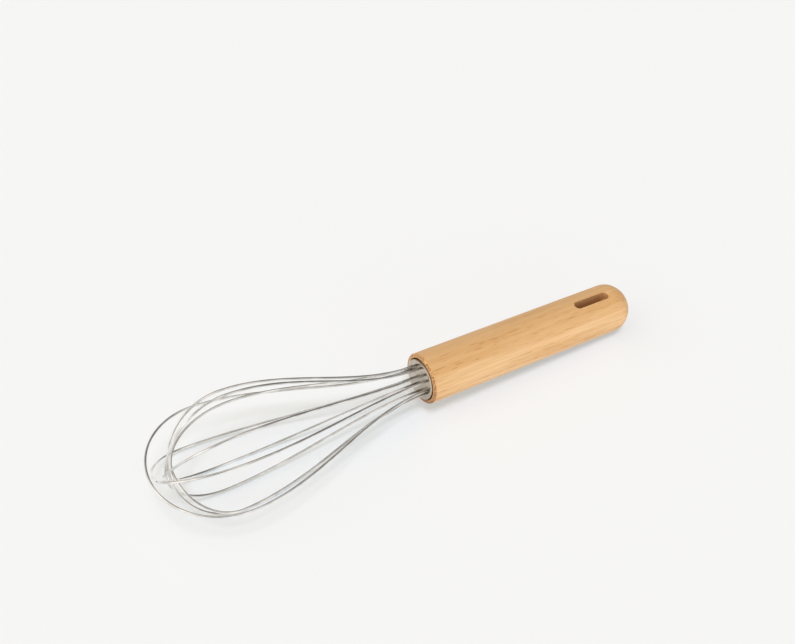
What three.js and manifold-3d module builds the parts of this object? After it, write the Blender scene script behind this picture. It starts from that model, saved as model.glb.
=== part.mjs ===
// Balloon whisk: six bent steel wire loops held in the bored end of a turned wooden handle.
// Millimetres, +Z up. The whisk lies on the ground, on its lowest wires and its butt.

import * as THREE from 'three';
import { mergeVertices } from 'three/addons/utils/BufferGeometryUtils.js';
import Module from 'manifold-3d';

// Wooden handle, measured from its front rim to its domed butt
const HANDLE_LENGTH = 124;
const HANDLE_DIAMETER = 25;
const BUTT_DOME = 11;
const FRONT_ROUND = 1;
const RIM_WIDTH = 1.9;
const BORE_CHAMFER = 0.4;

// Hanging slot through the handle near the butt
const SLOT_LENGTH = 21;
const SLOT_WIDTH = 5.2;
const SLOT_FROM_BUTT = 14;
const SLOT_ANGLE = THREE.MathUtils.degToRad(86);

// Steel end disc and the plug behind it, which holds the wire tails
const DISC_THICKNESS = 2;
const DISC_RECESS = 0.3;
const DISC_CHAMFER = 0.4;
const PLUG_LENGTH = 24;
const HOLES_FROM_EDGE = 2.8;
const FIT_GAP = 0.3;
const CUT_OVERRUN = 2;

// Wire loops, measured from the front rim to the farthest tip
const WIRE_DIAMETER = 1.2;
const TAIL_COVER = 4.5;
const STRAIGHT_EXIT = 3;
const BALLOON_LENGTH = 132;
const BALLOON_WIDTH = 56;
const WIDEST_AT = 98;

// One entry for each loop, from the outermost tip inwards. A loop's plane is turned to its angle
// in degrees. Bending by hand leaves each one a little different: out and along are what a strand
// adds to half the balloon's width and to its widest place, first the strand at that angle, then
// the one opposite. tuck is the free space to the tip of the loop outside it.
const LOOPS = [
  { name: 'wire_loop_1', angle: 0, out: [4, 3.5], along: [2, 4], tuck: 0 },
  { name: 'wire_loop_2', angle: 38, out: [-0.5, 10], along: [-4, 10], tuck: 1 },
  { name: 'wire_loop_3', angle: 61, out: [5.5, 0], along: [-2.5, -2.5], tuck: 1.8 },
  { name: 'wire_loop_4', angle: 92, out: [7, -5], along: [-1, 1], tuck: 0.3 },
  { name: 'wire_loop_5', angle: 119, out: [0, 0], along: [-3, -3], tuck: 0.3 },
  { name: 'wire_loop_6', angle: 160, out: [-6, -2.5], along: [-10, 3], tuck: 0.4 },
];

// Facets
const HANDLE_SIDES = 60;
const DOME_STEPS = 9;
const ROUND_STEPS = 4;
const SLOT_STEPS = 6;
const HOLE_SIDES = 12;
const WIRE_SIDES = 8;
const WIRE_STEPS = 64;

// Sizes that follow from the ones above
const HANDLE_RADIUS = HANDLE_DIAMETER / 2;
const BORE_RADIUS = HANDLE_RADIUS - RIM_WIDTH;
const DISC_RADIUS = BORE_RADIUS - FIT_GAP;
const HOLE_RING_RADIUS = DISC_RADIUS - HOLES_FROM_EDGE;
const HOLE_RADIUS = WIRE_DIAMETER / 2 + FIT_GAP;
const DISC_BACK = -DISC_RECESS - DISC_THICKNESS;
const PLUG_FRONT = DISC_BACK - FIT_GAP;
const PLUG_BACK = PLUG_FRONT - PLUG_LENGTH;
const BORE_FLOOR = PLUG_BACK - FIT_GAP;
const TAIL_BACK = PLUG_BACK + TAIL_COVER;

// A quarter of an ellipse drawn as one cubic curve
const QUARTER_ARC = 0.5523;

const oak = new THREE.MeshStandardMaterial({ color: 0xe0b27c, roughness: 0.6, metalness: 0 });
const polishedSteel = new THREE.MeshStandardMaterial({ color: 0xc4c3bf, roughness: 0.22, metalness: 1 });
const satinSteel = new THREE.MeshStandardMaterial({ color: 0xb4b2aa, roughness: 0.42, metalness: 1 });
const castResin = new THREE.MeshStandardMaterial({ color: 0x8a8272, roughness: 0.7, metalness: 0 });

const wasm = await Module();
wasm.setup();

// A closed geometry as a solid that can be cut. Triangles with two corners on the axis are dropped.
function toSolid(geometry) {
  const bare = geometry.clone();
  bare.deleteAttribute('normal');
  bare.deleteAttribute('uv');
  const merged = mergeVertices(bare);
  const corners = merged.index.array;
  const triVerts = [];
  for (let i = 0; i < corners.length; i += 3) {
    const [a, b, c] = corners.slice(i, i + 3);
    if (a !== b && b !== c && c !== a) triVerts.push(a, b, c);
  }
  const mesh = new wasm.Mesh({
    numProp: 3,
    vertProperties: Float32Array.from(merged.attributes.position.array),
    triVerts: Uint32Array.from(triVerts),
  });
  return new wasm.Manifold(mesh);
}

function toGeometry(solid) {
  const { vertProperties, triVerts } = solid.getMesh();
  const geometry = new THREE.BufferGeometry();
  geometry.setAttribute('position', new THREE.BufferAttribute(vertProperties, 3));
  geometry.setIndex(new THREE.BufferAttribute(triVerts, 1));
  geometry.computeVertexNormals();
  return geometry;
}

// In the whisk's own frame Z is its axis, with the front rim at 0 and the balloon above it.
function revolve(profile) {
  const points = profile.map(([radius, z]) => new THREE.Vector2(radius, z));
  return new THREE.LatheGeometry(points, HANDLE_SIDES).rotateX(Math.PI / 2);
}

// Points of a quarter ellipse from angle start to start + 90 degrees, about a centre.
function quarter(centreRadius, centreZ, radial, axial, start, steps) {
  return Array.from({ length: steps + 1 }, (_, i) => {
    const turn = start + (i / steps) * (Math.PI / 2);
    return [centreRadius + radial * Math.cos(turn), centreZ + axial * Math.sin(turn)];
  });
}

// A point at a distance from the axis, on the side that an angle gives, at a height along the axis.
function around(angle, radius, z) {
  return new THREE.Vector3(radius * Math.cos(angle), radius * Math.sin(angle), z);
}

function strandAngles() {
  return LOOPS.flatMap(({ angle }) => [angle, angle + 180]).map(THREE.MathUtils.degToRad);
}

// Bores one straight hole for each wire strand, past both faces of a round blank.
function boreForWires(blank, front, back) {
  const length = front - back + 2 * CUT_OVERRUN;
  let solid = toSolid(blank);
  for (const angle of strandAngles()) {
    const bit = new THREE.CylinderGeometry(HOLE_RADIUS, HOLE_RADIUS, length, HOLE_SIDES);
    bit.rotateX(Math.PI / 2);
    const { x, y, z } = around(angle, HOLE_RING_RADIUS, (front + back) / 2);
    solid = solid.subtract(toSolid(bit.translate(x, y, z)));
  }
  return toGeometry(solid);
}

function handleGeometry() {
  const domeFoot = BUTT_DOME - HANDLE_LENGTH;
  const [, ...dome] = quarter(0, domeFoot, HANDLE_RADIUS, BUTT_DOME, -Math.PI / 2, DOME_STEPS);
  const rim = quarter(HANDLE_RADIUS - FRONT_ROUND, -FRONT_ROUND, FRONT_ROUND, FRONT_ROUND, 0, ROUND_STEPS);
  const blank = revolve([
    [0, -HANDLE_LENGTH],
    ...dome,
    ...rim,
    [BORE_RADIUS + BORE_CHAMFER, 0],
    [BORE_RADIUS, -BORE_CHAMFER],
    [BORE_RADIUS, BORE_FLOOR],
    [0, BORE_FLOOR],
  ]);
  return toGeometry(toSolid(blank).subtract(toSolid(slotCutter())));
}

// The slot's outline runs along the handle, and its depth right through it.
function slotCutter() {
  const endRadius = SLOT_WIDTH / 2;
  const endOffset = SLOT_LENGTH / 2 - endRadius;
  const outline = new THREE.Shape();
  outline.absarc(0, endOffset, endRadius, 0, Math.PI);
  outline.absarc(0, -endOffset, endRadius, Math.PI, 2 * Math.PI);
  const depth = HANDLE_DIAMETER + 2 * CUT_OVERRUN;
  const cutter = new THREE.ExtrudeGeometry(outline, {
    depth,
    bevelEnabled: false,
    curveSegments: SLOT_STEPS,
  });
  const middle = SLOT_FROM_BUTT + SLOT_LENGTH / 2 - HANDLE_LENGTH;
  cutter.rotateX(Math.PI / 2).translate(0, depth / 2, middle);
  return cutter.rotateZ(SLOT_ANGLE - Math.PI / 2);
}

function discGeometry() {
  const front = -DISC_RECESS;
  const blank = revolve([
    [0, DISC_BACK],
    [DISC_RADIUS, DISC_BACK],
    [DISC_RADIUS, front - DISC_CHAMFER],
    [DISC_RADIUS - DISC_CHAMFER, front],
    [0, front],
  ]);
  return boreForWires(blank, front, DISC_BACK);
}

function plugGeometry() {
  const blank = revolve([
    [0, PLUG_BACK],
    [DISC_RADIUS, PLUG_BACK],
    [DISC_RADIUS, PLUG_FRONT],
    [0, PLUG_FRONT],
  ]);
  return boreForWires(blank, PLUG_FRONT, PLUG_BACK);
}

// Curves of one strand, from its tail in the plug to the loop's tip on the axis.
function strandCurves(angle, halfWidth, widest, reach) {
  const at = (radius, z) => around(angle, radius, z);
  const flare = (widest - STRAIGHT_EXIT) / 3;
  const tip = reach - widest;
  return [
    new THREE.LineCurve3(at(HOLE_RING_RADIUS, TAIL_BACK), at(HOLE_RING_RADIUS, STRAIGHT_EXIT)),
    new THREE.CubicBezierCurve3(
      at(HOLE_RING_RADIUS, STRAIGHT_EXIT),
      at(HOLE_RING_RADIUS, STRAIGHT_EXIT + flare),
      at(halfWidth, widest - flare),
      at(halfWidth, widest),
    ),
    new THREE.CubicBezierCurve3(
      at(halfWidth, widest),
      at(halfWidth, widest + QUARTER_ARC * tip),
      at(QUARTER_ARC * halfWidth, reach),
      at(0, reach),
    ),
  ];
}

// The same curves from the tip back to the tail.
function backwards(curves) {
  return curves.reverse().map((curve) => {
    if (curve.isLineCurve3) return new THREE.LineCurve3(curve.v2, curve.v1);
    return new THREE.CubicBezierCurve3(curve.v3, curve.v2, curve.v1, curve.v0);
  });
}

function loopGeometry({ angle, out, along }, reach) {
  const turn = THREE.MathUtils.degToRad(angle);
  const strand = (side) =>
    strandCurves(turn + side * Math.PI, BALLOON_WIDTH / 2 + out[side], WIDEST_AT + along[side], reach);
  const path = new THREE.CurvePath();
  path.curves = [...strand(0), ...backwards(strand(1))];
  const section = new THREE.Shape();
  for (let i = 0; i < WIRE_SIDES; i += 1) {
    const { x, y } = around((2 * Math.PI * i) / WIRE_SIDES, WIRE_DIAMETER / 2, 0);
    if (i === 0) section.moveTo(x, y);
    else section.lineTo(x, y);
  }
  return new THREE.ExtrudeGeometry(section, { steps: WIRE_STEPS, extrudePath: path });
}

// Each loop's tip lies under the one outside it, a wire and its free space further in.
function loopMeshes() {
  let reach = BALLOON_LENGTH + WIRE_DIAMETER;
  return LOOPS.map((loop) => {
    reach -= WIRE_DIAMETER + loop.tuck;
    return piece(loop.name, loopGeometry(loop, reach), polishedSteel);
  });
}

function piece(name, geometry, material) {
  const mesh = new THREE.Mesh(geometry, material);
  mesh.name = name;
  return mesh;
}

function cornersOf(mesh) {
  const { position } = mesh.geometry.attributes;
  return Array.from({ length: position.count }, (_, i) => new THREE.Vector3().fromBufferAttribute(position, i));
}

// The tilt at which the handle and the lowest wire reach equally far down.
function restingTilt(handle, loops) {
  const handleCorners = cornersOf(handle);
  const wireCorners = loops.flatMap(cornersOf);
  const lowest = (corners, tilt) =>
    corners.reduce((low, { y, z }) => Math.min(low, y * Math.cos(tilt) + z * Math.sin(tilt)), Infinity);
  let [less, more] = [0, Math.PI / 4];
  for (let i = 0; i < 40; i += 1) {
    const tilt = (less + more) / 2;
    if (lowest(wireCorners, tilt) < lowest(handleCorners, tilt)) less = tilt;
    else more = tilt;
  }
  return less;
}

// Lays the whisk down with its butt towards +X, and centres its box over the origin.
function layDown(whisk, tilt) {
  const across = new THREE.Vector3(0, -1, 0);
  const up = new THREE.Vector3(Math.sin(tilt), 0, Math.cos(tilt));
  const towardsBalloon = new THREE.Vector3(-Math.cos(tilt), 0, Math.sin(tilt));
  whisk.setRotationFromMatrix(new THREE.Matrix4().makeBasis(across, up, towardsBalloon));
  const box = new THREE.Box3().setFromObject(whisk, true);
  const centre = box.getCenter(new THREE.Vector3());
  whisk.position.set(-centre.x, -centre.y, -box.min.z);
}

const handle = piece('handle', handleGeometry(), oak);
const endDisc = piece('end_disc', discGeometry(), satinSteel);
const wirePlug = piece('wire_plug', plugGeometry(), castResin);
const loops = loopMeshes();

const whisk = new THREE.Group();
whisk.add(handle, endDisc, wirePlug, ...loops);
layDown(whisk, restingTilt(handle, loops));

export default whisk;
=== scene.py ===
"""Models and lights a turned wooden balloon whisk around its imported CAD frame."""

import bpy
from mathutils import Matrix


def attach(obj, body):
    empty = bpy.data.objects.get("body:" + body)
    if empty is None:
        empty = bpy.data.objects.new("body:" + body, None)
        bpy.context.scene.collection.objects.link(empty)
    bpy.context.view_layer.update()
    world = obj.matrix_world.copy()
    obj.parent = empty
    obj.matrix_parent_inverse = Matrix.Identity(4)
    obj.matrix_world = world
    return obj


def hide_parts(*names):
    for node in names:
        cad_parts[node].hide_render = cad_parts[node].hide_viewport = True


bl_info = {
    "name": "Wooden balloon whisk",
    "version": (1, 0, 0),
    "blender": (4, 5, 0),
    "location": "View3D > Sidebar > Whisk",
    "description": "Models a turned wooden whisk with six steel wire loops around its CAD frame",
    "category": "Object",
}

from math import cos, hypot, pi, radians, sin, tau

import bmesh
import bpy
from bpy.props import FloatProperty, FloatVectorProperty, IntProperty, PointerProperty
from mathutils import Matrix, Vector

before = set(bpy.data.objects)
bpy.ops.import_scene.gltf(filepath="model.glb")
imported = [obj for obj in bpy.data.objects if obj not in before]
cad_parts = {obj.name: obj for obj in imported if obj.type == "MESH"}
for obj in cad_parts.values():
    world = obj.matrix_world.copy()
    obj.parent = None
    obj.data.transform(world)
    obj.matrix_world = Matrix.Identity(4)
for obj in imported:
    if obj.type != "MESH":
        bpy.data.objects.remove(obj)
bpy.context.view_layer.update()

MM = 0.001

# Six wires, from the outermost tip inwards, as bent by hand: the angle of the loop's plane in
# degrees, and in millimetres what each of its two strands adds to half the balloon's width and to
# its widest place along the axis, and the free space to the tip of the loop outside it.
LOOPS = {
    "wire_loop_1": {"angle": 0, "out": (4, 3.5), "along": (2, 4), "tuck": 0},
    "wire_loop_2": {"angle": 38, "out": (-0.5, 10), "along": (-4, 10), "tuck": 1},
    "wire_loop_3": {"angle": 61, "out": (5.5, 0), "along": (-2.5, -2.5), "tuck": 1.8},
    "wire_loop_4": {"angle": 92, "out": (7, -5), "along": (-1, 1), "tuck": 0.3},
    "wire_loop_5": {"angle": 119, "out": (0, 0), "along": (-3, -3), "tuck": 0.3},
    "wire_loop_6": {"angle": 160, "out": (-6, -2.5), "along": (-10, 3), "tuck": 0.4},
}

# A quarter of an ellipse drawn as one cubic curve
QUARTER_ARC = 0.5523

# The handle and the wires have finer facets than their CAD solids, and lie this far inside them,
# so that they stay in the CAD box.
INSIDE = 0.04 * MM

# Places closer than this, in metres, are the same place.
SAME = 1e-6

# A face looks along an axis if its normal's share along that axis is above this.
FACING = 0.99

# Edges sharper than these stay sharp: on turned pieces, and on wires, which have few sides.
TURNED_SHARP = radians(30)
WIRE_SHARP = radians(50)


def corners(node):
    """The distinct corners of a CAD node, in the row frame."""
    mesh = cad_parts[node].data
    return [Vector(c) for c in {tuple(round(v, 7) for v in vertex.co) for vertex in mesh.vertices}]


def mean(points):
    return sum(points, Vector()) / len(points)


def whisk_frame():
    """The whisk's own frame: +Z runs along its axis to the balloon, from the front rim's middle.

    The plug is a plain cylinder along the axis, so the middles of its two flat ends give the axis.
    """
    plug = corners("wire_plug")
    middle = mean(plug)
    front_end = mean([p for p in plug if p.x < middle.x])
    axis = (front_end - middle).normalized()
    across = Vector((0, -1, 0))
    up = axis.cross(across)
    rim = max((p - middle).dot(axis) for p in corners("handle"))
    turned = Matrix((across, up, axis)).transposed().to_4x4()
    return Matrix.Translation(middle + rim * axis) @ turned


WHISK = whisk_frame()


def span(node):
    """How far a CAD node reaches along the axis, to the back and the front, and its radius."""
    local = [WHISK.inverted() @ p for p in corners(node)]
    heights = [p.z for p in local]
    return min(heights), max(heights), max(hypot(p.x, p.y) for p in local)


HANDLE_BACK, _, HANDLE_RADIUS = span("handle")
DISC_BACK, _, DISC_RADIUS = span("end_disc")
PLUG_BACK, _, _ = span("wire_plug")
TAIL_BACK, _, _ = span("wire_loop_1")


def from_hex(colour):
    """An sRGB hex colour as linear red, green and blue."""
    shares = [int(colour[i : i + 2], 16) / 255 for i in (0, 2, 4)]
    return [s / 12.92 if s <= 0.04045 else ((s + 0.055) / 1.055) ** 2.4 for s in shares]


def length(name, description, default):
    return FloatProperty(
        name=name, description=description, default=default, min=0, unit="LENGTH", precision=5
    )


def colour(name, description, default):
    return FloatVectorProperty(
        name=name, description=description, default=from_hex(default), subtype="COLOR", min=0, max=1
    )


def angle(name, description, default):
    return FloatProperty(
        name=name, description=description, default=radians(default), subtype="ANGLE"
    )


class WhiskHandleSizes(bpy.types.PropertyGroup):
    overall: length("Length", "From the front rim to the end of the butt", -HANDLE_BACK - INSIDE)
    diameter: length("Diameter", "Across the round handle", 2 * (HANDLE_RADIUS - INSIDE))
    butt_dome: length("Butt dome", "How far the domed butt reaches back", 11 * MM)
    front_round: length("Front rounding", "Radius on the outer edge of the front rim", 1 * MM)
    rim_width: length("Rim width", "Wood between the bore and the outside", 2.15 * MM)
    bore_chamfer: length("Bore chamfer", "Chamfer on the mouth of the bore", 0.4 * MM)
    bore_depth: length("Bore depth", "Depth of the bore behind the rim", 0.3 * MM - PLUG_BACK)
    slot_length: length("Slot length", "Length of the hanging slot", 21 * MM)
    slot_width: length("Slot width", "Width of the hanging slot", 4.4 * MM)
    slot_from_butt: length("Slot from butt", "Wood left behind the slot", 14 * MM)
    slot_angle: angle("Slot angle", "Side of the handle that the slot faces", 83.5)
    slot_ease: length("Slot easing", "Chamfer on the slot's mouths", 0.4 * MM)


class WhiskDiscSizes(bpy.types.PropertyGroup):
    radius: length("Radius", "Radius of the end disc", DISC_RADIUS - 0.3 * MM)
    proud: length("Proud", "How far the disc's face stands in front of the rim", 0.9 * MM)
    edge_chamfer: length("Edge chamfer", "Chamfer round the disc's face", 0.2 * MM)
    hole_ring: length("Hole ring", "Radius of the ring of wire holes", 7.5 * MM)
    hole_radius: length("Hole radius", "Radius of one wire hole", 0.65 * MM)


class WhiskWireSizes(bpy.types.PropertyGroup):
    diameter: length("Wire diameter", "Thickness of the wire", 1.2 * MM - 2 * INSIDE)
    nest_pitch: length("Nest pitch", "Between the tips of two loops that touch", 1.2 * MM)
    balloon_length: length("Balloon length", "From the front rim to the farthest tip", 132 * MM)
    balloon_width: length("Balloon width", "Width of a plain loop at its widest", 56 * MM)
    widest_at: length("Widest at", "From the front rim to the widest place", 98 * MM)
    straight_exit: length("Straight exit", "Straight wire in front of the rim", 3 * MM)


class WhiskFinishes(bpy.types.PropertyGroup):
    wood_light: colour("Light wood", "Lightest streaks of the handle", "FFD6A1")
    wood_dark: colour("Dark wood", "Darkest streaks of the handle", "E6B276")
    # Painted shade: this colour darkens the handle's upper side.
    wood_top_shade: colour("Shaded top", "Painted shade on the handle's upper side", "C99A63")
    # Painted shade: this colour darkens the slot's walls towards the axis.
    wood_deep: colour("Slot shade", "Painted shade on the slot's walls", "C8935A")
    wood_pore: colour("Wood pores", "Open pores along the grain", "B87F49")
    # End grain colour, also used as painted shade on the front rim's underside.
    wood_end: colour("End grain", "End grain on the rim, and painted shade on its underside", "9C683C")
    # Painted shade: this colour darkens the wood in the bore round the disc.
    wood_bore_shade: colour("Bore wall", "Painted shade on the wood inside the bore", "5E4026")
    wire_light: colour("Bright wire", "Polished stretches of the wire", "F6F4F2")
    wire_dull: colour("Dull wire", "Handled stretches of the wire", "D6D4D1")
    # Painted shade: this colour darkens the wires where they leave the disc.
    wire_foot_shade: colour("Wire foot", "Painted shade on the wire close to the end disc", "8C8577")
    disc_steel: colour("Disc steel", "Turned face of the end disc", "C8BDAF")
    disc_line: colour("Disc lines", "Tool lines on the end disc", "A59C8C")
    resin: colour("Resin", "Cast core that holds the wire tails", "8A8272")
    resin_cloud: colour("Cloudy resin", "Paler clouds in the cast core", "A09884")
    floor: colour("Floor", "Opal top of the shooting table", "C6C3C2")
    floor_glow: colour("Floor glow", "Light through the table's top", "969994")
    # Painted shadow: the floor's glow takes this colour close under the whisk.
    floor_shade: colour("Floor shade", "Painted shade of the glow close under the whisk", "8196A3")


class WhiskStage(bpy.types.PropertyGroup):
    floor_size: length("Floor size", "Side of the shooting table", 6)
    view_azimuth: angle("View azimuth", "Camera's turn round the whisk", -32.713)
    view_elevation: angle("View elevation", "Camera's height above the horizon", 44.578)
    view_roll: angle("View roll", "Camera's turn about its own axis", 2.410)
    view_distance: length("View distance", "From the camera to its target", 468.378 * MM)
    view_target: FloatVectorProperty(
        name="View target",
        description="Point in the middle of the picture",
        default=(4.157 * MM, 22.251 * MM, 38.081 * MM),
        subtype="XYZ",
        unit="LENGTH",
        precision=5,
    )
    lens: FloatProperty(name="Lens", description="Focal length in millimetres", default=45.28)
    key_azimuth: angle("Key azimuth", "Side that the main light comes from", -28)
    key_elevation: angle("Key elevation", "Height of the main light", 67)
    key_spread: angle("Key spread", "Apparent size of the main light", 16)
    key_strength: FloatProperty(name="Key strength", description="Main light", default=1.9)
    key_colour: colour("Key colour", "Slightly cool main light", "EAF1FF")
    tent_front: FloatProperty(name="Tent front", description="Light from its front", default=1.3)
    tent_back: FloatProperty(name="Tent back", description="Light from its back", default=0.2)
    tent_azimuth: angle("Tent azimuth", "Side of the tent's brightest place", -62)
    tent_height: angle("Tent height", "Height of the tent's brightest place", 28)
    tent_colour: colour("Tent colour", "Slightly warm cloth of the tent", "FFFBF4")
    tent_gap: colour("Tent gap", "What shows through the camera's opening", "0A0A0A")
    tent_opening: angle("Tent opening", "Width of the camera's opening, seen from the whisk", 66)


class WhiskFacets(bpy.types.PropertyGroup):
    handle_sides: IntProperty(name="Sides", description="Facets round handle and disc", default=128)
    dome_rings: IntProperty(name="Dome rings", description="Rings on the domed butt", default=18)
    slot_sides: IntProperty(name="Slot sides", description="Facets round the slot", default=50)
    hole_sides: IntProperty(name="Hole sides", description="Facets round a wire hole", default=28)
    wire_steps: IntProperty(name="Wire steps", description="Rings on a stretch of wire", default=40)


# Helpers for modelling in the whisk's own frame


def pick(piece, part, wanted):
    """Selects only the wanted verts, edges or faces of a piece in edit mode."""
    mesh = bmesh.from_edit_mesh(piece.data)
    bpy.ops.mesh.select_all(action="DESELECT")
    for element in getattr(mesh, part):
        if wanted(element):
            element.select_set(True)
    mesh.select_flush_mode()
    bmesh.update_edit_mesh(piece.data)


def add_cylinder(sides, radius, front, back):
    """A new cylinder along +Z, in object mode, as the only selected object."""
    bpy.ops.object.select_all(action="DESELECT")
    bpy.ops.mesh.primitive_cylinder_add(
        vertices=sides, radius=radius, depth=front - back, location=(0, 0, (front + back) / 2)
    )
    bpy.ops.object.transform_apply(location=True)
    return bpy.context.object


def apply_boolean(piece, cutter):
    """Cuts one mesh out of another and removes the cutter."""
    modifier = piece.modifiers.new("cut", "BOOLEAN")
    modifier.object = cutter
    modifier.operation = "DIFFERENCE"
    modifier.solver = "EXACT"
    bpy.context.view_layer.objects.active = piece
    bpy.ops.object.modifier_apply(modifier=modifier.name)
    bpy.data.objects.remove(cutter)


def place(piece, name, material, node):
    """Lays a piece from the whisk's own frame in its place, where it stands for its CAD node."""
    piece.name = name
    piece.data.name = name
    piece.data.materials.clear()
    piece.data.materials.append(material)
    piece.matrix_world = WHISK
    bpy.ops.object.select_all(action="DESELECT")
    piece.select_set(True)
    bpy.context.view_layer.objects.active = piece
    bpy.ops.object.transform_apply(location=True, rotation=True, scale=True)
    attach(piece, "root")
    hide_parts(node)


def edit(piece, select_mode):
    bpy.context.view_layer.objects.active = piece
    bpy.ops.object.mode_set(mode="EDIT")
    bpy.ops.mesh.select_mode(type=select_mode)


def leave_edit():
    bpy.ops.object.mode_set(mode="OBJECT")


# Materials


def add_node(tree, kind, output=None, **given):
    """Adds a node and returns one of its outputs.

    Each given name is an option or an input of the node. A socket is linked, and a value is set.
    """
    node = tree.nodes.new(kind)
    inputs = {socket.identifier.replace(" ", "_"): socket for socket in node.inputs}
    for name, value in given.items():
        if isinstance(value, bpy.types.NodeSocket):
            tree.links.new(value, inputs[name])
        elif name in inputs:
            inputs[name].default_value = value
        else:
            setattr(node, name, value)
    outputs = {socket.identifier: socket for socket in node.outputs}
    return outputs.get(output)


def new_tree(data):
    """The empty node tree of a material or a world."""
    data.use_nodes = True
    data.node_tree.nodes.clear()
    return data.node_tree


def rgba(value):
    return (*value, 1)


def whisk_coordinates(tree):
    """Object coordinates turned into the whisk's own frame, in metres."""
    inverse = WHISK.inverted()
    return add_node(
        tree,
        "ShaderNodeMapping",
        "Vector",
        Vector=add_node(tree, "ShaderNodeTexCoord", "Object"),
        Location=inverse.to_translation(),
        Rotation=inverse.to_euler(),
    )


def per_mm(across, along):
    """The scale at which a pattern has this size in millimetres across and along the grain."""
    return (1 / (across * MM), 1 / (across * MM), 1 / (along * MM))


def patches(tree, whisk, across, along, low, high, detail=2):
    """Soft patches from 0 to 1, of a size in millimetres across and along the grain."""
    scaled = add_node(
        tree,
        "ShaderNodeVectorMath",
        "Vector",
        operation="MULTIPLY",
        Vector=whisk,
        Vector_001=per_mm(across, along),
    )
    noise = add_node(tree, "ShaderNodeTexNoise", "Fac", Vector=scaled, Scale=1, Detail=detail)
    return add_node(
        tree,
        "ShaderNodeMapRange",
        "Result",
        interpolation_type="SMOOTHSTEP",
        Value=noise,
        From_Min=low,
        From_Max=high,
    )


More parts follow.
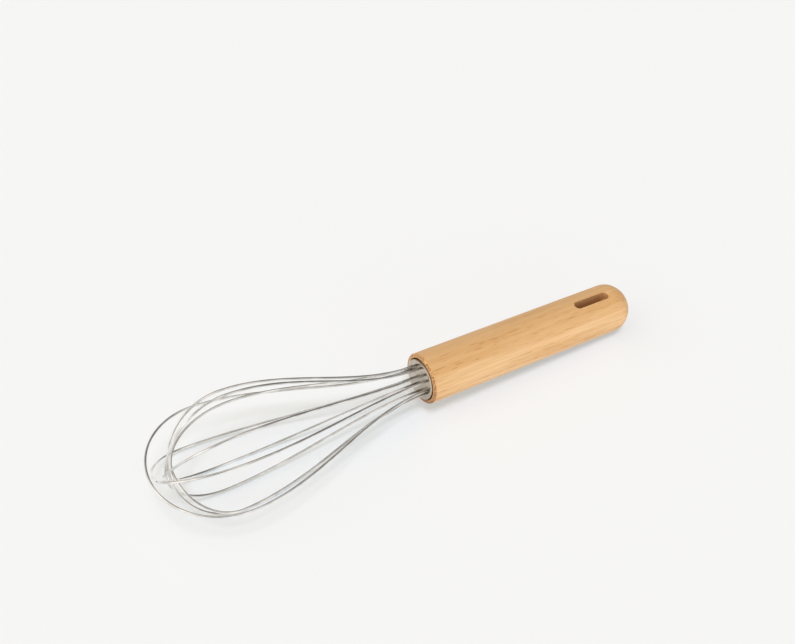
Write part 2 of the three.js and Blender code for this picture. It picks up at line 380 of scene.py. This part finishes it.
def oiled_oak(finishes):
    """Light oak, turned, sanded and oiled: soft streaks along the grain, fine pores, dull sheen."""
    material = bpy.data.materials.new("oiled_oak")
    tree = new_tree(material)
    whisk = whisk_coordinates(tree)
    upward = add_node(tree, "ShaderNodeSeparateXYZ", "Y", Vector=whisk)
    forward = add_node(tree, "ShaderNodeSeparateXYZ", "Z", Vector=whisk)
    from_axis = add_node(
        tree,
        "ShaderNodeVectorMath",
        "Value",
        operation="LENGTH",
        Vector=add_node(
            tree,
            "ShaderNodeVectorMath",
            "Vector",
            operation="MULTIPLY",
            Vector=whisk,
            Vector_001=(1, 1, 0),
        ),
    )
    # Where the wood changes, by its grain or by painted shade: what is measured, where the change
    # starts, where it is full, how strong it is there, and whether it starts and ends softly.
    changes = {
        # Painted shade: the handle is darkened towards its upper side.
        "painted_top_shade": (upward, -0.1 * HANDLE_RADIUS, 1.1 * HANDLE_RADIUS, 0.7, "SMOOTHSTEP"),
        # Painted shade: the slot's walls are darkened towards the axis. The domed butt comes as
        # close to the axis, and is as light as the rest.
        "inward": (from_axis, HANDLE_RADIUS - 1 * MM, HANDLE_RADIUS - 7 * MM, 1, "SMOOTHSTEP"),
        "before_dome": (forward, HANDLE_BACK + 12 * MM, HANDLE_BACK + 13 * MM, 1, "LINEAR"),
        # Painted shade: the bore's wall is darkened, so that the gap round the disc shows dark.
        "in_bore": (from_axis, HANDLE_RADIUS - 1.85 * MM, HANDLE_RADIUS - 2.05 * MM, 1, "LINEAR"),
        "near_front": (forward, -30 * MM, -28 * MM, 1, "LINEAR"),
        # End grain on the outer half of the front rim; painted shade darkens the rim's underside
        # too.
        "on_rim": (forward, -1.1 * MM, -0.5 * MM, 1, "LINEAR"),
        "outer": (from_axis, HANDLE_RADIUS - 1.7 * MM, HANDLE_RADIUS - 1.1 * MM, 1, "LINEAR"),
        "lower": (upward, 0.3 * HANDLE_RADIUS, -0.8 * HANDLE_RADIUS, 1, "LINEAR"),
    }
    share = {
        name: add_node(
            tree,
            "ShaderNodeMapRange",
            "Result",
            interpolation_type=curve,
            Value=measure,
            From_Min=start,
            From_Max=full,
            To_Max=most,
        )
        for name, (measure, start, full, most, curve) in changes.items()
    }
    share["streaks"] = patches(tree, whisk, across=3.2, along=90, low=0.32, high=0.68, detail=3)
    share["fibres"] = patches(tree, whisk, across=0.7, along=32, low=0.28, high=0.72)
    share["specks"] = patches(tree, whisk, across=0.6, along=0.6, low=0.4, high=0.66, detail=1)
    # Real pores are 0.2 mm wide. They are drawn twice as wide, so that they show, and they lie
    # mostly in the dark streaks.
    share["pits"] = patches(tree, whisk, across=0.4, along=8, low=0.55, high=0.72, detail=1)
    share["dark_streaks"] = add_node(
        tree, "ShaderNodeMapRange", "Result", Value=share["streaks"], To_Min=0.9, To_Max=0.1
    )
    for name, operation, first, second in (
        ("pores", "MULTIPLY", "pits", "dark_streaks"),
        ("painted_slot_shade", "MULTIPLY", "inward", "before_dome"),
        ("painted_bore_shade", "MULTIPLY", "in_bore", "near_front"),
        ("specks_above_shade", "SUBTRACT", "specks", "lower"),
        ("grain_or_underside", "MAXIMUM", "outer", "lower"),
        ("end_grain", "MULTIPLY", "on_rim", "grain_or_underside"),
    ):
        share[name] = add_node(
            tree,
            "ShaderNodeMath",
            "Value",
            operation=operation,
            use_clamp=True,
            Value=share[first],
            Value_001=share[second],
        )
    share["fine"] = add_node(
        tree,
        "ShaderNodeMath",
        "Value",
        operation="MULTIPLY",
        Value=share["fibres"],
        Value_001=0.5,
    )
    rim = add_node(
        tree,
        "ShaderNodeMix",
        "Result_Color",
        data_type="RGBA",
        Factor_Float=share["specks_above_shade"],
        A_Color=rgba(finishes.wood_end),
        B_Color=rgba(finishes.wood_dark),
    )
    body = rgba(finishes.wood_dark)
    for name, tint in (
        ("streaks", rgba(finishes.wood_light)),
        ("fine", rgba(finishes.wood_dark)),
        ("painted_top_shade", rgba(finishes.wood_top_shade)),
        ("pores", rgba(finishes.wood_pore)),
        ("painted_slot_shade", rgba(finishes.wood_deep)),
        ("painted_bore_shade", rgba(finishes.wood_bore_shade)),
        ("end_grain", rim),
    ):
        body = add_node(
            tree,
            "ShaderNodeMix",
            "Result_Color",
            data_type="RGBA",
            Factor_Float=share[name],
            A_Color=body,
            B_Color=tint,
        )
    dents = add_node(
        tree,
        "ShaderNodeMath",
        "Value",
        operation="SUBTRACT",
        Value=share["fine"],
        Value_001=share["pores"],
    )
    wood = add_node(
        tree,
        "ShaderNodeBsdfPrincipled",
        "BSDF",
        Base_Color=body,
        Roughness=add_node(
            tree, "ShaderNodeMapRange", "Result", Value=share["fibres"], To_Min=0.46, To_Max=0.62
        ),
        Normal=add_node(
            tree, "ShaderNodeBump", "Normal", Strength=0.15, Distance=0.1 * MM, Height=dents
        ),
    )
    add_node(tree, "ShaderNodeOutputMaterial", Surface=wood)
    return material


def drawn_steel_wire(finishes):
    """Stainless wire, drawn and polished: bright, with duller stretches where it was handled."""
    material = bpy.data.materials.new("polished_stainless_wire")
    tree = new_tree(material)
    whisk = whisk_coordinates(tree)
    handled = patches(tree, whisk, across=9, along=9, low=0.35, high=0.65)
    drawn = patches(tree, whisk, across=0.25, along=4, low=0, high=1, detail=1)
    # Painted shade: the wires are darkened, and made duller, where they come out of the disc.
    past_foot_shade = add_node(
        tree,
        "ShaderNodeMapRange",
        "Result",
        Value=add_node(tree, "ShaderNodeSeparateXYZ", "Z", Vector=whisk),
        From_Min=1 * MM,
        From_Max=7 * MM,
    )
    polish = add_node(
        tree, "ShaderNodeMapRange", "Result", Value=handled, To_Min=0.08, To_Max=0.2
    )
    body = add_node(
        tree,
        "ShaderNodeMix",
        "Result_Color",
        data_type="RGBA",
        Factor_Float=handled,
        A_Color=rgba(finishes.wire_light),
        B_Color=rgba(finishes.wire_dull),
    )
    steel = add_node(
        tree,
        "ShaderNodeBsdfPrincipled",
        "BSDF",
        Base_Color=add_node(
            tree,
            "ShaderNodeMix",
            "Result_Color",
            data_type="RGBA",
            Factor_Float=past_foot_shade,
            A_Color=rgba(finishes.wire_foot_shade),
            B_Color=body,
        ),
        Roughness=add_node(
            tree, "ShaderNodeMapRange", "Result", Value=past_foot_shade, To_Min=0.45, To_Max=polish
        ),
        Normal=add_node(
            tree, "ShaderNodeBump", "Normal", Strength=0.15, Distance=0.02 * MM, Height=drawn
        ),
        Metallic=1,
    )
    add_node(tree, "ShaderNodeOutputMaterial", Surface=steel)
    return material


def turned_steel_disc(finishes):
    """Stainless disc, faced on a lathe and polished: it mirrors the wires and has tool lines."""
    material = bpy.data.materials.new("turned_stainless_disc")
    tree = new_tree(material)
    whisk = whisk_coordinates(tree)
    stain = patches(tree, whisk, across=4, along=4, low=0.35, high=0.7, detail=3)
    # Real tool lines are 0.1 mm apart. They are drawn five times as far apart, so that they show.
    # A wave texture of scale 1 repeats after a twentieth of a full turn.
    rings = add_node(
        tree,
        "ShaderNodeTexWave",
        "Fac",
        wave_type="RINGS",
        rings_direction="Z",
        Vector=whisk,
        Scale=tau / (20 * 0.5 * MM),
        Distortion=0.6,
        Detail=2,
    )
    lines = add_node(
        tree, "ShaderNodeMath", "Value", operation="MULTIPLY", Value=rings, Value_001=stain
    )
    steel = add_node(
        tree,
        "ShaderNodeBsdfPrincipled",
        "BSDF",
        Base_Color=add_node(
            tree,
            "ShaderNodeMix",
            "Result_Color",
            data_type="RGBA",
            Factor_Float=lines,
            A_Color=rgba(finishes.disc_steel),
            B_Color=rgba(finishes.disc_line),
        ),
        Roughness=add_node(
            tree, "ShaderNodeMapRange", "Result", Value=rings, To_Min=0.12, To_Max=0.22
        ),
        Normal=add_node(
            tree, "ShaderNodeBump", "Normal", Strength=0.1, Distance=0.02 * MM, Height=rings
        ),
        Metallic=1,
    )
    add_node(tree, "ShaderNodeOutputMaterial", Surface=steel)
    return material


def cast_resin(finishes):
    """Filled casting resin: dull and slightly cloudy, with small pits."""
    material = bpy.data.materials.new("cast_resin")
    tree = new_tree(material)
    whisk = whisk_coordinates(tree)
    cloud = patches(tree, whisk, across=5, along=5, low=0.3, high=0.7, detail=3)
    pits = patches(tree, whisk, across=0.8, along=0.8, low=0, high=1, detail=1)
    resin = add_node(
        tree,
        "ShaderNodeBsdfPrincipled",
        "BSDF",
        Base_Color=add_node(
            tree,
            "ShaderNodeMix",
            "Result_Color",
            data_type="RGBA",
            Factor_Float=cloud,
            A_Color=rgba(finishes.resin),
            B_Color=rgba(finishes.resin_cloud),
        ),
        Roughness=0.7,
        Normal=add_node(
            tree, "ShaderNodeBump", "Normal", Strength=0.3, Distance=0.1 * MM, Height=pits
        ),
    )
    add_node(tree, "ShaderNodeOutputMaterial", Surface=resin)
    return material


def opal_acrylic(finishes):
    """Opal acrylic of a backlit shooting table: matt, even and pale, with painted shade near the
    whisk.
    """
    material = bpy.data.materials.new("opal_acrylic")
    tree = new_tree(material)
    # Painted shadow: the glow is darker and cooler where the whisk is close, which also takes back
    # the wood's orange cast.
    openness = add_node(
        tree,
        "ShaderNodeMapRange",
        "Result",
        Value=add_node(tree, "ShaderNodeAmbientOcclusion", "AO", Distance=60 * MM),
        From_Min=0.2,
        From_Max=0.89,
    )
    sheet = add_node(
        tree,
        "ShaderNodeBsdfPrincipled",
        "BSDF",
        Base_Color=rgba(finishes.floor),
        Roughness=1,
        Specular_IOR_Level=0,
        Emission_Color=add_node(
            tree,
            "ShaderNodeMix",
            "Result_Color",
            data_type="RGBA",
            Factor_Float=openness,
            A_Color=rgba(finishes.floor_shade),
            B_Color=rgba(finishes.floor_glow),
        ),
        Emission_Strength=1,
    )
    add_node(tree, "ShaderNodeOutputMaterial", Surface=sheet)
    return material


# Pieces


def draw_in_dome(piece, sizes, rings):
    """Extrudes the back face into a dome, ring by ring along a quarter ellipse, up to its pole."""
    foot = sizes.butt_dome - sizes.overall
    edit(piece, "FACE")
    pick(piece, "faces", lambda face: face.normal.z < -FACING)
    for ring in range(1, rings + 1):
        before, after = (pi / 2 * step / rings for step in (ring - 1, ring))
        drop = sizes.butt_dome * (sin(before) - sin(after))
        bpy.ops.mesh.extrude_region_move(TRANSFORM_OT_translate={"value": (0, 0, drop)})
        if ring < rings:
            share = cos(after) / cos(before)
            middle = (0, 0, foot - sizes.butt_dome * sin(after))
            bpy.ops.transform.resize(value=(share, share, 1), center_override=middle)
    bpy.ops.mesh.merge(type="CENTER")
    leave_edit()


def bore_front(piece, sizes, segments=5):
    """Rounds the front rim, and sinks the bore for the disc and the plug into it."""
    radius = sizes.diameter / 2
    bore = radius - sizes.rim_width
    edit(piece, "EDGE")
    pick(piece, "edges", lambda edge: all(abs(v.co.z) < SAME for v in edge.verts))
    bpy.ops.mesh.bevel(offset=sizes.front_round, segments=segments, affect="EDGES")
    bpy.ops.mesh.select_mode(type="FACE")
    pick(
        piece,
        "faces",
        lambda face: face.normal.z > FACING and abs(face.calc_center_median().z) < SAME,
    )
    mouth = bore + sizes.bore_chamfer
    bpy.ops.mesh.inset(thickness=radius - sizes.front_round - mouth)
    bpy.ops.mesh.extrude_region_move(TRANSFORM_OT_translate={"value": (0, 0, -sizes.bore_chamfer)})
    narrow = bore / mouth
    bpy.ops.transform.resize(value=(narrow, narrow, 1), center_override=(0, 0, -sizes.bore_chamfer))
    sink = sizes.bore_chamfer - sizes.bore_depth
    bpy.ops.mesh.extrude_region_move(TRANSFORM_OT_translate={"value": (0, 0, sink)})
    leave_edit()


def slot_cutter(sizes, sides):
    """A bar with round ends that cuts the slot. It flares at both mouths to ease their edges."""
    end_radius = sizes.slot_width / 2
    mouth = (sizes.diameter**2 / 4 - end_radius**2) ** 0.5
    straight = mouth - sizes.slot_ease
    flare = sizes.diameter / 2
    cutter = add_cylinder(sides, end_radius, straight, -straight)
    edit(cutter, "FACE")
    for side in (1, -1):
        pick(cutter, "faces", lambda face: side * face.calc_center_median().z > straight - SAME)
        bpy.ops.mesh.extrude_region_move(TRANSFORM_OT_translate={"value": (0, 0, side * flare)})
        wide = 1 + flare / end_radius
        end = (0, 0, side * (straight + flare))
        bpy.ops.transform.resize(value=(wide, wide, 1), center_override=end)
    apart = sizes.slot_length / 2 - end_radius
    bpy.ops.mesh.select_mode(type="VERT")
    for side in (1, -1):
        pick(cutter, "verts", lambda vertex: side * vertex.co.x > SAME)
        bpy.ops.transform.translate(value=(side * apart, 0, 0))
    leave_edit()
    through = Vector((cos(sizes.slot_angle), sin(sizes.slot_angle), 0))
    along = Vector((0, 0, 1))
    turned = Matrix((along, through.cross(along), through)).transposed().to_4x4()
    middle = sizes.slot_from_butt + sizes.slot_length / 2 - sizes.overall
    cutter.matrix_world = Matrix.Translation((0, 0, middle)) @ turned
    bpy.ops.object.transform_apply(location=True, rotation=True)
    return cutter


def part_round_slot(piece, sizes, clear=2 * MM):
    """Cuts the handle's long faces in front of and behind the slot, so that they stay smooth."""
    back = sizes.slot_from_butt - sizes.overall
    edit(piece, "FACE")
    for height in (back - clear, back + sizes.slot_length + clear):
        bpy.ops.mesh.select_all(action="SELECT")
        bpy.ops.mesh.bisect(plane_co=(0, 0, height), plane_no=(0, 0, 1))
    leave_edit()


class WHISK_OT_handle(bpy.types.Operator):
    """Turns the wooden handle: domed butt, rounded and bored front, and the hanging slot"""

    bl_idname = "whisk.handle"
    bl_label = "Turn the handle"

    def execute(self, context):
        sizes = context.scene.whisk_handle
        facets = context.scene.whisk_facets
        wood = oiled_oak(context.scene.whisk_finishes)
        radius = sizes.diameter / 2
        handle = add_cylinder(facets.handle_sides, radius, 0, sizes.butt_dome - sizes.overall)
        draw_in_dome(handle, sizes, facets.dome_rings)
        bore_front(handle, sizes)
        part_round_slot(handle, sizes)
        apply_boolean(handle, slot_cutter(sizes, facets.slot_sides))
        place(handle, "oak_handle", wood, "handle")
        bpy.ops.object.shade_smooth_by_angle(angle=TURNED_SHARP)
        even = handle.modifiers.new("even_normals", "WEIGHTED_NORMAL")
        even.keep_sharp = True
        bpy.ops.object.modifier_apply(modifier=even.name)
        return {"FINISHED"}


class WHISK_OT_disc(bpy.types.Operator):
    """Turns the steel end disc and drills a hole for each wire strand"""

    bl_idname = "whisk.disc"
    bl_label = "Turn the end disc"

    def execute(self, context):
        sizes = context.scene.whisk_disc
        facets = context.scene.whisk_facets
        steel = turned_steel_disc(context.scene.whisk_finishes)
        disc = add_cylinder(facets.handle_sides, sizes.radius, sizes.proud, DISC_BACK)
        edit(disc, "EDGE")
        pick(disc, "edges", lambda edge: all(abs(v.co.z - sizes.proud) < SAME for v in edge.verts))
        bpy.ops.mesh.bevel(offset=sizes.edge_chamfer, segments=2, affect="EDGES")
        leave_edit()
        self.drill(disc, sizes, facets.hole_sides)
        place(disc, "steel_end_disc", steel, "end_disc")
        bpy.ops.object.shade_smooth_by_angle(angle=TURNED_SHARP)
        return {"FINISHED"}

    def drill(self, disc, sizes, sides):
        """Cuts the holes one by one, past both faces."""
        for loop in LOOPS.values():
            for half_turn in (0, pi):
                turn = radians(loop["angle"]) + half_turn
                bit = add_cylinder(sides, sizes.hole_radius, sizes.proud + MM, DISC_BACK - MM)
                bit.location = (sizes.hole_ring * cos(turn), sizes.hole_ring * sin(turn), 0)
                bpy.ops.object.transform_apply(location=True)
                apply_boolean(disc, bit)


class WHISK_OT_plug(bpy.types.Operator):
    """Gives the hidden plug its finish. Its CAD solid stays, since nothing of it shows"""

    bl_idname = "whisk.plug"
    bl_label = "Finish the plug"

    def execute(self, context):
        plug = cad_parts["wire_plug"]
        for slot in plug.material_slots:
            slot.material = cast_resin(context.scene.whisk_finishes)
        return {"FINISHED"}


def strand(sizes, ring, loop, side, reach):
    """One strand of a loop from its tail to its widest place, as left handle, point, right handle.

    Every place is (distance across, height along the axis) in the loop's plane.
    """
    half_width = sizes.balloon_width / 2 + loop["out"][side] * MM
    widest = sizes.widest_at + loop["along"][side] * MM
    leave = sizes.straight_exit
    flare = (widest - leave) / 3
    lean = QUARTER_ARC * (reach - widest)
    third = (leave - TAIL_BACK) / 3
    return [
        ((ring, TAIL_BACK - third), (ring, TAIL_BACK), (ring, TAIL_BACK + third)),
        ((ring, leave - third), (ring, leave), (ring, leave + flare)),
        ((half_width, widest - flare), (half_width, widest), (half_width, widest + lean)),
    ]


def loop_points(sizes, ring, loop, reach):
    """All of a loop's curve points, from one tail round the tip to the other."""
    first = strand(sizes, ring, loop, 0, reach)
    second = strand(sizes, ring, loop, 1, reach)
    lean = [QUARTER_ARC * s[-1][1][0] for s in (first, second)]
    tip = ((lean[0], reach), (0, reach), (-lean[1], reach))
    back = [
        tuple((-across, height) for across, height in reversed(point)) for point in reversed(second)
    ]
    return [*first, tip, *back]


class WHISK_OT_wires(bpy.types.Operator):
    """Bends the six wire loops and nests their tips"""

    bl_idname = "whisk.wires"
    bl_label = "Bend the wires"

    def execute(self, context):
        sizes = context.scene.whisk_wires
        steps = context.scene.whisk_facets.wire_steps
        ring = context.scene.whisk_disc.hole_ring
        steel = drawn_steel_wire(context.scene.whisk_finishes)
        reach = sizes.balloon_length + sizes.nest_pitch
        for name, loop in LOOPS.items():
            reach -= sizes.nest_pitch + loop["tuck"] * MM
            points = loop_points(sizes, ring, loop, reach)
            wire = self.bend(points, radians(loop["angle"]), steps, sizes)
            place(wire, "steel_" + name, steel, name)
            bpy.ops.object.shade_smooth_by_angle(angle=WIRE_SHARP)
        return {"FINISHED"}

    def bend(self, points, turn, steps, sizes):
        """A round wire along curve points in a plane through the axis, as a closed mesh."""
        bpy.ops.object.select_all(action="DESELECT")
        bpy.ops.curve.primitive_bezier_curve_add()
        wire = bpy.context.object
        bpy.ops.object.mode_set(mode="EDIT")
        bpy.ops.curve.select_all(action="SELECT")
        bpy.ops.curve.subdivide(number_cuts=len(points) - 2)
        leave_edit()
        curve = wire.data
        curve.dimensions = "3D"
        curve.resolution_u = steps
        curve.bevel_depth = sizes.diameter / 2
        curve.bevel_resolution = 4
        curve.use_fill_caps = True
        for knot, point in zip(curve.splines[0].bezier_points, points):
            places = [Vector((a * cos(turn), a * sin(turn), height)) for a, height in point]
            knot.handle_left_type = knot.handle_right_type = "FREE"
            knot.handle_left, knot.co, knot.handle_right = places
        bpy.ops.object.convert(target="MESH")
        edit(wire, "VERT")
        bpy.ops.mesh.select_all(action="SELECT")
        bpy.ops.mesh.remove_doubles(threshold=SAME)
        bpy.ops.mesh.normals_make_consistent(inside=False)
        leave_edit()
        return wire


# Stage


def aim(azimuth, elevation):
    """The direction from the whisk to a place round it."""
    return Vector((sin(azimuth) * cos(elevation), -cos(azimuth) * cos(elevation), sin(elevation)))


class WHISK_OT_stage(bpy.types.Operator):
    """Sets up the shooting table, the light and the camera"""

    bl_idname = "whisk.stage"
    bl_label = "Set the stage"

    def execute(self, context):
        stage = context.scene.whisk_stage
        self.lay_floor(context, stage)
        self.set_lights(context, stage)
        self.set_camera(context, stage)
        context.scene.view_settings.view_transform = "Standard"
        return {"FINISHED"}

    def lay_floor(self, context, stage):
        bpy.ops.object.select_all(action="DESELECT")
        bpy.ops.mesh.primitive_plane_add(size=stage.floor_size)
        floor = bpy.context.object
        floor.name = "table_top"
        floor.data.materials.append(opal_acrylic(context.scene.whisk_finishes))

    def set_lights(self, context, stage):
        toward = aim(stage.key_azimuth, stage.key_elevation)
        bpy.ops.object.light_add(type="SUN", location=toward)
        key = bpy.context.object
        key.name = "key_light"
        key.rotation_euler = toward.to_track_quat("Z", "Y").to_euler()
        key.data.angle = stage.key_spread
        key.data.energy = stage.key_strength
        key.data.color = stage.key_colour
        # Its reflections would burn out on the wires.
        key.visible_glossy = False
        context.scene.world = self.pitch_tent(stage)

    def pitch_tent(self, stage):
        """A white tent all round, with a dark opening that the camera looks through."""
        world = bpy.data.worlds.new("white_tent")
        tree = new_tree(world)
        directions = add_node(tree, "ShaderNodeTexCoord", "Generated")
        shares = []
        camera_side = aim(stage.view_azimuth, stage.view_elevation)
        bright_side = aim(stage.tent_azimuth, stage.tent_height)
        # Cosines of the angles from the brightest place at which the cloth is darkest and brightest
        far, near = -0.35, 0.9
        for toward, dark, light, low, high in (
            (camera_side, cos(stage.tent_opening / 2), cos(stage.tent_opening / 4), 0, 1),
            (bright_side, far, near, stage.tent_back, stage.tent_front),
        ):
            facing = add_node(
                tree,
                "ShaderNodeVectorMath",
                "Value",
                operation="DOT_PRODUCT",
                Vector=directions,
                Vector_001=toward,
            )
            share = add_node(
                tree,
                "ShaderNodeMapRange",
                "Result",
                interpolation_type="SMOOTHSTEP",
                Value=facing,
                From_Min=dark,
                From_Max=light,
                To_Min=low,
                To_Max=high,
            )
            shares.append(share)
        opening, strength = shares
        cloth = add_node(
            tree,
            "ShaderNodeMix",
            "Result_Color",
            data_type="RGBA",
            Factor_Float=opening,
            A_Color=rgba(stage.tent_colour),
            B_Color=rgba(stage.tent_gap),
        )
        background = add_node(
            tree, "ShaderNodeBackground", "Background", Color=cloth, Strength=strength
        )
        add_node(tree, "ShaderNodeOutputWorld", Surface=background)
        return world

    def set_camera(self, context, stage):
        toward = aim(stage.view_azimuth, stage.view_elevation)
        bpy.ops.object.camera_add(location=Vector(stage.view_target) + toward * stage.view_distance)
        camera = bpy.context.object
        camera.name = "photo_camera"
        level = toward.to_track_quat("Z", "Y").to_matrix()
        camera.rotation_euler = (level @ Matrix.Rotation(stage.view_roll, 3, "Z")).to_euler()
        camera.data.sensor_fit = "HORIZONTAL"
        camera.data.sensor_width = 36
        camera.data.lens = stage.lens
        camera.data.clip_start = 0.01
        context.scene.camera = camera


class WHISK_PT_panel(bpy.types.Panel):
    """Lists the steps that make the whisk"""

    bl_idname = "WHISK_PT_panel"
    bl_label = "Wooden whisk"
    bl_space_type = "VIEW_3D"
    bl_region_type = "UI"
    bl_category = "Whisk"

    def draw(self, context):
        for operator in OPERATORS:
            self.layout.operator(operator.bl_idname)


SETTINGS = {
    "whisk_handle": WhiskHandleSizes,
    "whisk_disc": WhiskDiscSizes,
    "whisk_wires": WhiskWireSizes,
    "whisk_finishes": WhiskFinishes,
    "whisk_stage": WhiskStage,
    "whisk_facets": WhiskFacets,
}
OPERATORS = (WHISK_OT_handle, WHISK_OT_disc, WHISK_OT_plug, WHISK_OT_wires, WHISK_OT_stage)


def register():
    for group in (*SETTINGS.values(), *OPERATORS, WHISK_PT_panel):
        bpy.utils.register_class(group)
    for name, group in SETTINGS.items():
        setattr(bpy.types.Scene, name, PointerProperty(type=group))


def unregister():
    for name in SETTINGS:
        delattr(bpy.types.Scene, name)
    for group in (WHISK_PT_panel, *reversed(OPERATORS), *SETTINGS.values()):
        bpy.utils.unregister_class(group)


def main():
    register()
    bpy.ops.whisk.handle()
    bpy.ops.whisk.disc()
    bpy.ops.whisk.plug()
    bpy.ops.whisk.wires()
    bpy.ops.whisk.stage()


if __name__ == "__main__":
    main()
